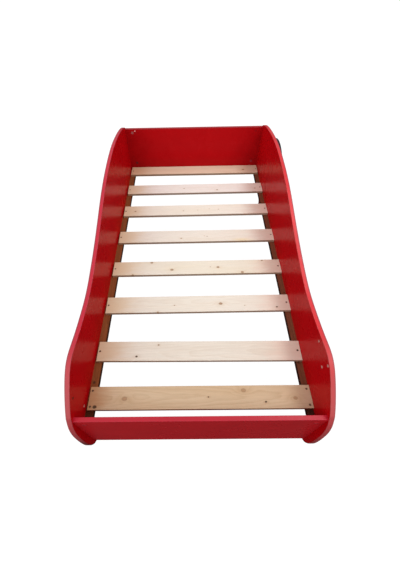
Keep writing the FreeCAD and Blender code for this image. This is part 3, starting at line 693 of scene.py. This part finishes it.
def wheel_look(end, side):
    """Materials that run round the axle of one wheel."""
    lo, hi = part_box("wheel_tyre_%s_%s" % (end, side))
    c = (lo + hi) / 2.0
    r0 = (hi.z - lo.z) / 2.0

    def polar(g):
        d = g.vec("SUBTRACT", g.co(), tuple(c))
        _, y, z = g.split(d)
        r = g.math("SQRT", g.math("ADD", g.mul(y, y), g.mul(z, z)))
        a = g.math("ARCTAN2", z, y)
        return r, a

    # tyre: rubber-like black with fine turned lines and a scuffed shoulder
    g = Net("tyre_%s_%s" % (end, side))
    co = g.co()
    r, a = polar(g)
    turned = g.noise(g.join(g.mul(r, 2600.0), g.mul(a, 0.6), 0.0), 1.0, 2.0, 0.6)
    fine = g.noise(co, 800.0, 3.0, 0.6)
    patch = g.noise(co, 14.0, 4.0, 0.6)
    shoulder = g.remap(r, r0 * 0.965, r0 * 0.995)
    base = g.shade((0.0070, 0.0070, 0.0075), g.math("ADD", g.remap(turned, 0.2, 0.8, 0.85, 1.15),
                                                g.remap(patch, 0.3, 0.7, -0.1, 0.1)))
    scuff = g.mul(g.remap(g.noise(co, 60.0, 5.0, 0.7), 0.55, 0.70), shoulder)
    colour = g.mix(g.mul(scuff, 0.35), base, (0.030, 0.029, 0.028))
    dust = g.remap(g.noise(co, 5.0, 3.0), 0.5, 0.75)
    colour = g.mix(g.mul(dust, 0.06), colour, (0.10, 0.095, 0.09))
    rough = g.math("ADD", g.remap(patch, 0.3, 0.7, 0.34, 0.44), g.mul(scuff, 0.25))
    rough = g.add(rough, g.mul(dust, 0.08))
    n1 = g.bump(turned, 0.00005, 0.5)
    n2 = g.bump(fine, 0.00004, 0.5, n1)
    g.principled(Base_Color=colour, Roughness=rough, Normal=n2, IOR=1.5,
                 Specular_IOR_Level=0.12)
    dress("wheel_tyre_%s_%s" % (end, side), g.mat)

    # rim: silver paint with metal flake; its recessed faces darker with painted shade and with grime
    g = Net("rim_%s_%s" % (end, side))
    co = g.co()
    r, a = polar(g)
    flake = g.cells(co, 3200.0)
    fl = g.noise(flake.outputs["Position"], 900.0, 1.0)
    patch = g.noise(co, 18.0, 3.0, 0.6)
    x, _, _ = g.split(co)
    deep = g.remap(g.math("ABSOLUTE", x), 0.4335, 0.4405, 1.0, 0.0)
    base = g.shade((0.56, 0.565, 0.575), g.math("ADD", g.remap(fl, 0.2, 0.8, 0.88, 1.12),
                                               g.remap(patch, 0.3, 0.7, -0.05, 0.05)))
    # painted shade in the recesses
    colour = g.mix(g.mul(deep, 0.5), base, (0.20, 0.20, 0.21))
    grime = g.mul(g.remap(g.noise(co, 30.0, 4.0, 0.65), 0.5, 0.68), g.add(g.mul(deep, 0.6), 0.15))
    colour = g.mix(grime, colour, (0.12, 0.115, 0.11))
    rough = g.math("ADD", g.remap(fl, 0.2, 0.8, 0.30, 0.40), g.mul(grime, 0.3))
    turned = g.noise(g.join(g.mul(r, 3600.0), g.mul(a, 0.4), 0.0), 1.0, 2.0, 0.6)
    n1 = g.bump(turned, 0.00003, 0.5)
    g.principled(Base_Color=colour, Roughness=rough, Normal=n1, Metallic=0.72)
    dress("wheel_rim_%s_%s" % (end, side), g.mat)

    # hub cap: dark glossy plastic with turned rings
    g = Net("hub_%s_%s" % (end, side))
    co = g.co()
    r, a = polar(g)
    turned = g.noise(g.join(g.mul(r, 4200.0), g.mul(a, 0.5), 0.0), 1.0, 2.0, 0.6)
    fine = g.noise(co, 90.0, 4.0, 0.7)
    base = g.shade((0.060, 0.061, 0.066), g.remap(turned, 0.2, 0.8, 0.85, 1.15))
    swirl = g.remap(g.noise(g.join(g.mul(r, 900.0), g.mul(a, 2.0), 3.0), 1.0, 4.0, 0.7), 0.60, 0.72)
    colour = g.mix(g.mul(swirl, 0.3), base, (0.16, 0.16, 0.17))
    rough = g.math("ADD", g.remap(fine, 0.3, 0.7, 0.16, 0.26), g.mul(swirl, 0.15))
    n1 = g.bump(turned, 0.00004, 0.5)
    g.principled(Base_Color=colour, Roughness=rough, Normal=n1, IOR=1.52)
    dress("wheel_hub_cap_%s_%s" % (end, side), g.mat)


for end in ("front", "rear"):
    for side in ("left", "right"):
        wheel_look(end, side)


# ------------------------------------------------------------ edging strips
def outline_of(node):
    """The outer outline of a side panel's edging, in the (y, z) plane, from
    under the front foot over the top and round the rear end to the sill."""
    bm = bmesh.new()
    bm.from_mesh(NODE[node].data)
    bmesh.ops.remove_doubles(bm, verts=bm.verts, dist=1e-6)
    bm.normal_update()
    caps = set(f for f in bm.faces if f.normal.x > 0.99)
    nxt = {}
    for e in bm.edges:
        if sum(1 for f in e.link_faces if f in caps) == 1:
            a, b = e.verts
            nxt.setdefault(a, []).append(b)
            nxt.setdefault(b, []).append(a)
    low = min(v.co.z for v in nxt)

    def near(y, z):
        return min(nxt, key=lambda v: (v.co.y - y) ** 2 + (v.co.z - z) ** 2)

    ya = (-46.0 + SHIFT) / 1000.0
    yb = (1560.0 + SHIFT) / 1000.0
    a_out, a_in = near(ya, low), near(ya, low + 0.002)
    b_out = near(yb, (DECK - 100.0) / 1000.0)
    path = [a_out]
    prev = a_in
    cur = a_out
    while cur is not b_out and len(path) < 5000:
        step = [v for v in nxt[cur] if v is not prev]
        prev, cur = cur, step[0]
        path.append(cur)
    pts = [(v.co.y, v.co.z) for v in path]
    bm.free()
    return pts


def smooth_path(pts, step):
    """Catmull-Rom points between the outline's own points, kept sharp at
    corners, so that a long chord becomes a run of short ones."""
    P = [Vector(p) for p in pts]
    n = len(P)
    sharp = [True] * n
    for i in range(1, n - 1):
        a, b = P[i] - P[i - 1], P[i + 1] - P[i]
        sharp[i] = a.angle(b) > math.radians(14.0)
    out = []
    for i in range(n - 1):
        p1, p2 = P[i], P[i + 1]
        length = (p2 - p1).length
        k = max(1, int(math.ceil(length / step)))
        p0 = P[i - 1] if i > 0 and not sharp[i] else None
        p3 = P[i + 2] if i + 2 < n and not sharp[i + 1] else None
        straight = abs(p1.x - p2.x) < 1e-6 or abs(p1.y - p2.y) < 1e-6
        for j in range(k):
            t = j / k
            if straight or (p0 is None and p3 is None):
                out.append(p1.lerp(p2, t))
                continue
            # non-uniform Catmull-Rom tangents, limited to the chord's length
            d1 = length
            if p0 is not None:
                d0 = max((p1 - p0).length, 1e-6)
                m1 = ((p1 - p0) / d0 * d1 + (p2 - p1) / d1 * d0) / (d0 + d1) * d1
            else:
                m1 = None
            if p3 is not None:
                d2 = max((p3 - p2).length, 1e-6)
                m2 = ((p2 - p1) / d1 * d2 + (p3 - p2) / d2 * d1) / (d1 + d2) * d1
            else:
                m2 = None
            if m1 is None:
                m1 = (p2 - p1) * 1.5 - m2 * 0.5
            if m2 is None:
                m2 = (p2 - p1) * 1.5 - m1 * 0.5
            h00 = 2 * t ** 3 - 3 * t ** 2 + 1
            h10 = t ** 3 - 2 * t ** 2 + t
            h01 = -2 * t ** 3 + 3 * t ** 2
            h11 = t ** 3 - t ** 2
            out.append(p1 * h00 + m1 * h10 + p2 * h01 + m2 * h11)
    out.append(P[-1])
    return out


def strip_section():
    """Points (x, depth, arris, seam) of the strip's section in metres."""
    half, r, deep = 0.00804, 0.0015, 0.0026
    pts = [(-half, deep, 0.0, 1.0), (-half, 0.0021, 0.0, 1.0), (-half, 0.0018, 0.0, 0.0)]
    n = 6
    for k in range(n + 1):
        a = math.pi / 2.0 * k / n
        pts.append((-half + r - r * math.cos(a), r - r * math.sin(a), 1.0 if 0 < k < n else 0.5, 0.0))
    for x in (-0.0057, -0.003, 0.0, 0.003, 0.0057):
        pts.append((x, -0.00006 * max(0.0, 1.0 - abs(x) / 0.006), 0.0, 0.0))
    for k in range(n + 1):
        a = math.pi / 2.0 * (1.0 - k / n)
        pts.append((half - r + r * math.cos(a), r - r * math.sin(a), 1.0 if 0 < k < n else 0.5, 0.0))
    pts += [(half, 0.0018, 0.0, 0.0), (half, 0.0021, 0.0, 1.0), (half, deep, 0.0, 1.0)]
    return pts


def edging_strip(side, sign):
    path = smooth_path(outline_of("edge_band_" + side), 0.007)
    n = len(path)
    sec = strip_section()
    xm = sign * (HALF_IN + HALF_OUT) / 2000.0
    verts, arris, seam, outer, bloom = [], [], [], [], []
    # the nose over the front foot and the strip's lowest parts are painted a paler pink than the rest
    y_fade, y_end = at(0.0, 210.0, 0.0).y, at(0.0, -40.0, 0.0).y
    for i, p in enumerate(path):
        ts = []
        if i > 0:
            ts.append((p - path[i - 1]).normalized())
        if i < n - 1:
            ts.append((path[i + 1] - p).normalized())
        ns = [Vector((-t.y, t.x)) for t in ts]
        if len(ns) == 2:
            m = (ns[0] + ns[1]) / (1.0 + ns[0].dot(ns[1]))
        else:
            m = ns[0]
        if i in (0, n - 1):
            m = Vector((0.0, -1.0))
        for x, d, a, s in sec:
            q = p - m * (d + 0.0002)
            verts.append((xm + x, q.x, max(q.y, 0.005)))
            arris.append(a)
            seam.append(s)
            out = sign * x
            outer.append(max(0.0, min(1.0, (out - 0.0026) / 0.0032)) if d < 0.0017 else 0.0)
            low_end = 1.0 if q.y < (DECK - 150.0) / 1000.0 else 0.0
            bloom.append(max(low_end, min(1.0, (y_fade - p.x) / (y_fade - y_end))))
    k = len(sec)
    faces = []
    for i in range(n - 1):
        for j in range(k):
            j2 = (j + 1) % k
            faces.append((i * k + j, i * k + j2, (i + 1) * k + j2, (i + 1) * k + j))
    faces.append(tuple(range(k - 1, -1, -1)))
    faces.append(tuple((n - 1) * k + j for j in range(k)))
    me = bpy.data.meshes.new("edging_" + side)
    me.from_pydata(verts, [], faces)
    for nm, vals in (("arris", arris), ("seam", seam), ("outer", outer), ("bloom", bloom)):
        at_ = me.attributes.new(nm, "FLOAT", "POINT")
        at_.data.foreach_set("value", vals)
    me.update()
    bm = bmesh.new()
    bm.from_mesh(me)
    bmesh.ops.recalc_face_normals(bm, faces=bm.faces)
    bm.to_mesh(me)
    bm.free()
    me.polygons.foreach_set("use_smooth", [True] * len(me.polygons))
    me.set_sharp_from_angle(angle=math.radians(28.0))
    me.materials.append(EDGING[sign])
    ob = bpy.data.objects.new("edging_strip_" + side, me)
    bpy.context.scene.collection.objects.link(ob)
    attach(ob, "root")
    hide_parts("edge_band_" + side)
    return ob


edging_strip("left", -1)
edging_strip("right", 1)

# ------------------------------------------------------------ floor, light
def floor():
    me = bpy.data.meshes.new("studio_floor")
    s = 9.0
    me.from_pydata([(-s, -s, 0), (s, -s, 0), (s, s, 0), (-s, s, 0)], [], [(0, 1, 2, 3)])
    ob = bpy.data.objects.new("studio_floor", me)
    bpy.context.scene.collection.objects.link(ob)
    g = Net("studio_floor")
    lp = g.node("ShaderNodeLightPath")
    seen = lp.outputs["Is Camera Ray"]
    dull = g.node("ShaderNodeBsdfDiffuse")
    tone = g.mix(g.remap(g.noise(g.co(), 1.5, 3.0), 0.3, 0.7), (0.044, 0.042, 0.041), (0.052, 0.050, 0.049))
    g.put(dull.inputs["Color"], tone)
    pale = g.node("ShaderNodeEmission")
    g.put(pale.inputs["Color"], (1.0, 1.0, 1.0))
    g.put(pale.inputs["Strength"], 0.965)
    soft = g.node("ShaderNodeBsdfDiffuse")
    g.put(soft.inputs["Color"], (0.10, 0.10, 0.10))
    both = g.node("ShaderNodeAddShader")
    g.t.links.new(pale.outputs[0], both.inputs[0])
    g.t.links.new(soft.outputs[0], both.inputs[1])
    mixer = g.node("ShaderNodeMixShader")
    g.put(mixer.inputs[0], seen)
    g.t.links.new(dull.outputs[0], mixer.inputs[1])
    g.t.links.new(both.outputs[0], mixer.inputs[2])
    g.t.links.new(mixer.outputs[0], g.out.inputs["Surface"])
    me.materials.append(g.mat)


floor()


def sky():
    world = bpy.data.worlds.new("studio")
    bpy.context.scene.world = world
    world.use_nodes = True
    t = world.node_tree
    t.nodes.clear()
    out = t.nodes.new("ShaderNodeOutputWorld")
    tc = t.nodes.new("ShaderNodeTexCoord")
    sep = t.nodes.new("ShaderNodeSeparateXYZ")
    t.links.new(tc.outputs["Generated"], sep.inputs[0])
    ramp = t.nodes.new("ShaderNodeValToRGB")
    els = [(0.0, 0.02), (0.5, 0.16), (0.60, 0.34), (0.78, 0.62), (1.0, 0.82)]
    while len(ramp.color_ramp.elements) < len(els):
        ramp.color_ramp.elements.new(0.5)
    for e, (p, v) in zip(ramp.color_ramp.elements, els):
        e.position = p
        e.color = (v, v, v, 1.0)
    mr = t.nodes.new("ShaderNodeMapRange")
    mr.inputs["From Min"].default_value = -1.0
    mr.inputs["From Max"].default_value = 1.0
    t.links.new(sep.outputs[2], mr.inputs["Value"])
    t.links.new(mr.outputs[0], ramp.inputs[0])
    dim = t.nodes.new("ShaderNodeBackground")
    dim.inputs["Strength"].default_value = 1.03
    # the foot end faces the brighter part of the room
    front = t.nodes.new("ShaderNodeMapRange")
    front.inputs["From Min"].default_value = 0.2
    front.inputs["From Max"].default_value = -0.9
    front.inputs["To Min"].default_value = 1.0
    front.inputs["To Max"].default_value = 2.3
    t.links.new(sep.outputs[1], front.inputs["Value"])
    times = t.nodes.new("ShaderNodeVectorMath")
    times.operation = "SCALE"
    t.links.new(ramp.outputs[0], times.inputs[0])
    # and the left is a little brighter, the other side of the lamp's
    side = t.nodes.new("ShaderNodeMapRange")
    side.inputs["From Min"].default_value = 0.5
    side.inputs["From Max"].default_value = -0.9
    side.inputs["To Min"].default_value = 0.92
    side.inputs["To Max"].default_value = 1.5
    t.links.new(sep.outputs[0], side.inputs["Value"])
    both = t.nodes.new("ShaderNodeMath")
    both.operation = "MULTIPLY"
    t.links.new(front.outputs[0], both.inputs[0])
    t.links.new(side.outputs[0], both.inputs[1])
    t.links.new(both.outputs[0], times.inputs["Scale"])
    t.links.new(times.outputs[0], dim.inputs["Color"])
    white = t.nodes.new("ShaderNodeBackground")
    white.inputs["Color"].default_value = (1.0, 1.0, 1.0, 1.0)
    white.inputs["Strength"].default_value = 1.0
    lp = t.nodes.new("ShaderNodeLightPath")
    mixer = t.nodes.new("ShaderNodeMixShader")
    t.links.new(lp.outputs["Is Camera Ray"], mixer.inputs[0])
    t.links.new(dim.outputs[0], mixer.inputs[1])
    t.links.new(white.outputs[0], mixer.inputs[2])
    t.links.new(mixer.outputs[0], out.inputs["Surface"])


sky()


def lamp(name, loc, aim, size_x, size_y, power, colour=(1.0, 1.0, 1.0)):
    d = bpy.data.lights.new(name, "AREA")
    d.shape = "RECTANGLE"
    d.size = size_x
    d.size_y = size_y
    d.energy = power
    d.color = colour
    ob = bpy.data.objects.new(name, d)
    bpy.context.scene.collection.objects.link(ob)
    z = (Vector(loc) - Vector(aim)).normalized()
    y = Vector((0.0, 1.0, 0.0))
    x = y.cross(z).normalized()
    y = z.cross(x)
    m = Matrix((x, y, z)).transposed().to_4x4()
    m.translation = Vector(loc)
    ob.matrix_world = m
    return ob


lamp("key", (1.08, 0.0, 2.45), (0.15, 0.0, 0.2), 0.50, 2.6, 17.5, (1.0, 0.985, 0.965))

# ----------------------------------------------------------------- camera
EYE = (-16.3, -320.6, 1081.8)
PITCH, YAW, ROLL = (math.radians(a) for a in (54.732, -0.98, 1.508))
FOCAL = 303.65
CENTRE = (190.21, 306.14)


def camera():
    fw = Vector((math.sin(YAW) * math.cos(PITCH), math.cos(YAW) * math.cos(PITCH), -math.sin(PITCH)))
    rt = Vector((math.cos(YAW), -math.sin(YAW), 0.0))
    dn = fw.cross(rt)
    r = rt * math.cos(ROLL) + dn * math.sin(ROLL)
    d = dn * math.cos(ROLL) - rt * math.sin(ROLL)
    m = Matrix((r, -d, -fw)).transposed().to_4x4()
    m.translation = at(*EYE)
    cam = bpy.data.cameras.new("camera")
    cam.sensor_fit = "AUTO"
    cam.sensor_width = 36.0
    cam.lens = FOCAL / 570.0 * 36.0
    cam.shift_x = (200.0 - CENTRE[0]) / 570.0
    cam.shift_y = (CENTRE[1] - 285.0) / 570.0
    cam.clip_start = 0.01
    cam.clip_end = 60.0
    ob = bpy.data.objects.new("camera", cam)
    bpy.context.scene.collection.objects.link(ob)
    ob.matrix_world = m
    bpy.context.scene.camera = ob


camera()

scene = bpy.context.scene
scene.view_settings.view_transform = "Standard"
scene.view_settings.look = "None"
scene.view_settings.exposure = 0.0
scene.view_settings.gamma = 1.0
